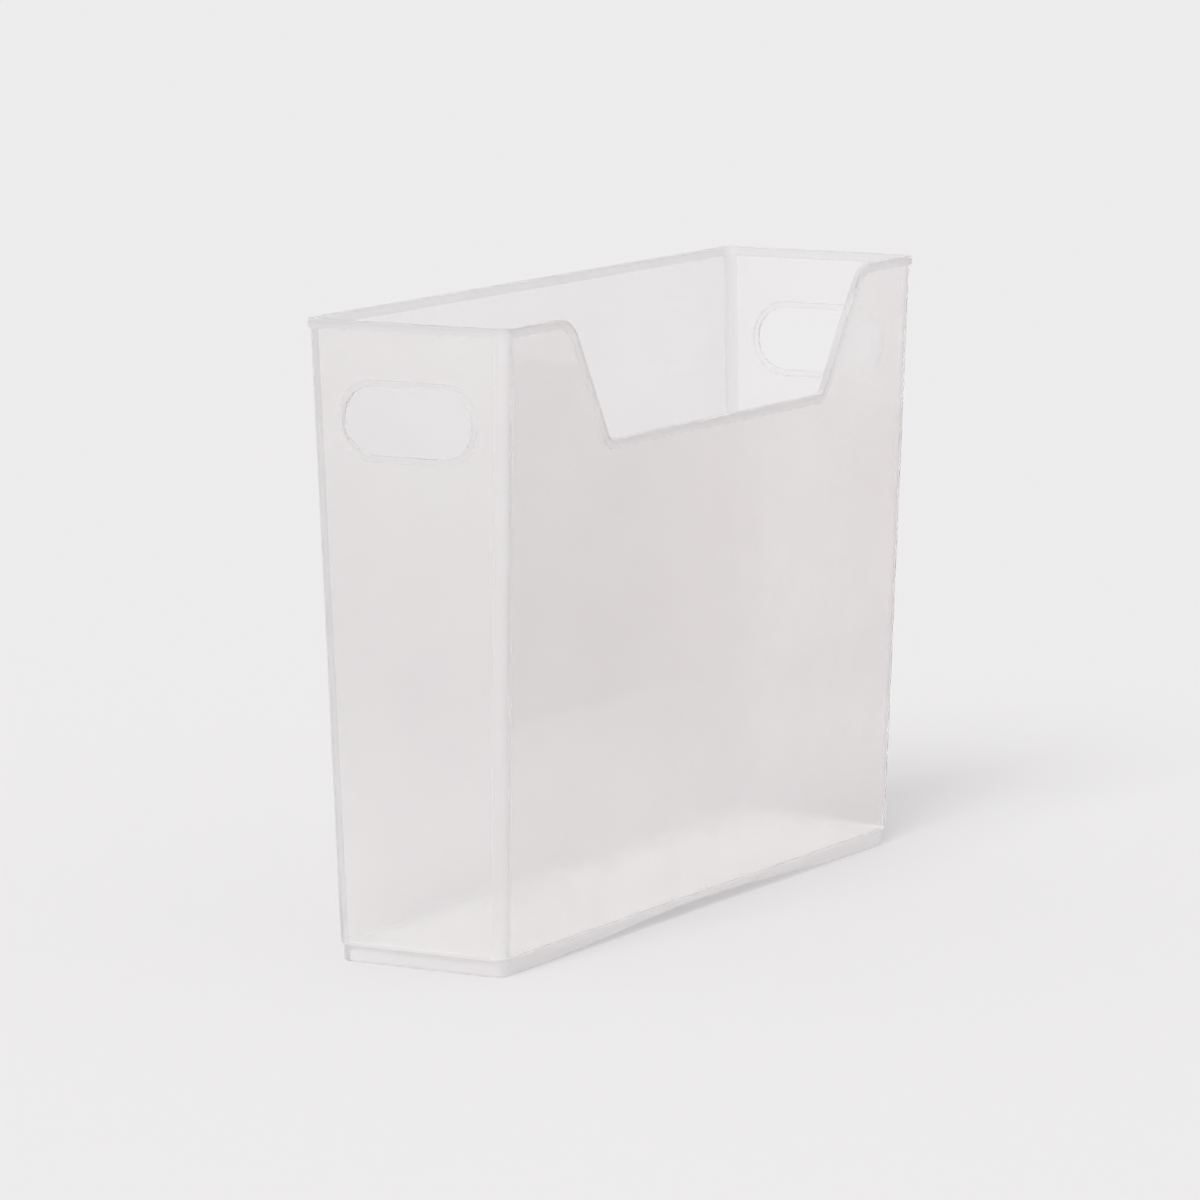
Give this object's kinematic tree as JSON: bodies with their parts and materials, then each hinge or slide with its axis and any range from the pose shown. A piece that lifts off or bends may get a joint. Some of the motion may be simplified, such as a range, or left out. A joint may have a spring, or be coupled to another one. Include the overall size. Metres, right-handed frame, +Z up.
{
  "type": "magazine file holder",
  "caption": "Tall, narrow, open-topped bin in frosted clear plastic, with a flanged rim, a notched front wall and a hand hole in each end, for filing magazines upright.",
  "frame": {"origin": "on the standing surface, under the middle of the bin", "axes": "+X along the length, -Y out of the notched front wall, +Z up"},
  "size_m": [0.324, 0.088, 0.241],
  "materials": {
    "frosted_clear_plastic": "frosted clear, satin sheen"
  },
  "bodies": {
    "root": {"back_wall": "frosted_clear_plastic", "corner_post_back_left": "frosted_clear_plastic", "corner_post_back_right": "frosted_clear_plastic", "corner_post_front_left": "frosted_clear_plastic", "corner_post_front_right": "frosted_clear_plastic", "floor_panel": "frosted_clear_plastic", "foot_back_rail": "frosted_clear_plastic", "foot_front_rail": "frosted_clear_plastic", "foot_left_end": "frosted_clear_plastic", "foot_right_end": "frosted_clear_plastic", "front_wall": "frosted_clear_plastic", "hand_hole_rim_left": "frosted_clear_plastic", "hand_hole_rim_right": "frosted_clear_plastic", "left_end_wall": "frosted_clear_plastic", "notch_rim_left": "frosted_clear_plastic", "notch_rim_right": "frosted_clear_plastic", "notch_rim_sill": "frosted_clear_plastic", "right_end_wall": "frosted_clear_plastic", "rim_back": "frosted_clear_plastic", "rim_corner_back_left": "frosted_clear_plastic", "rim_corner_back_right": "frosted_clear_plastic", "rim_corner_front_left": "frosted_clear_plastic", "rim_corner_front_right": "frosted_clear_plastic", "rim_front_left": "frosted_clear_plastic", "rim_front_right": "frosted_clear_plastic", "rim_left_end": "frosted_clear_plastic", "rim_right_end": "frosted_clear_plastic"}
  },
  "joints": []
}
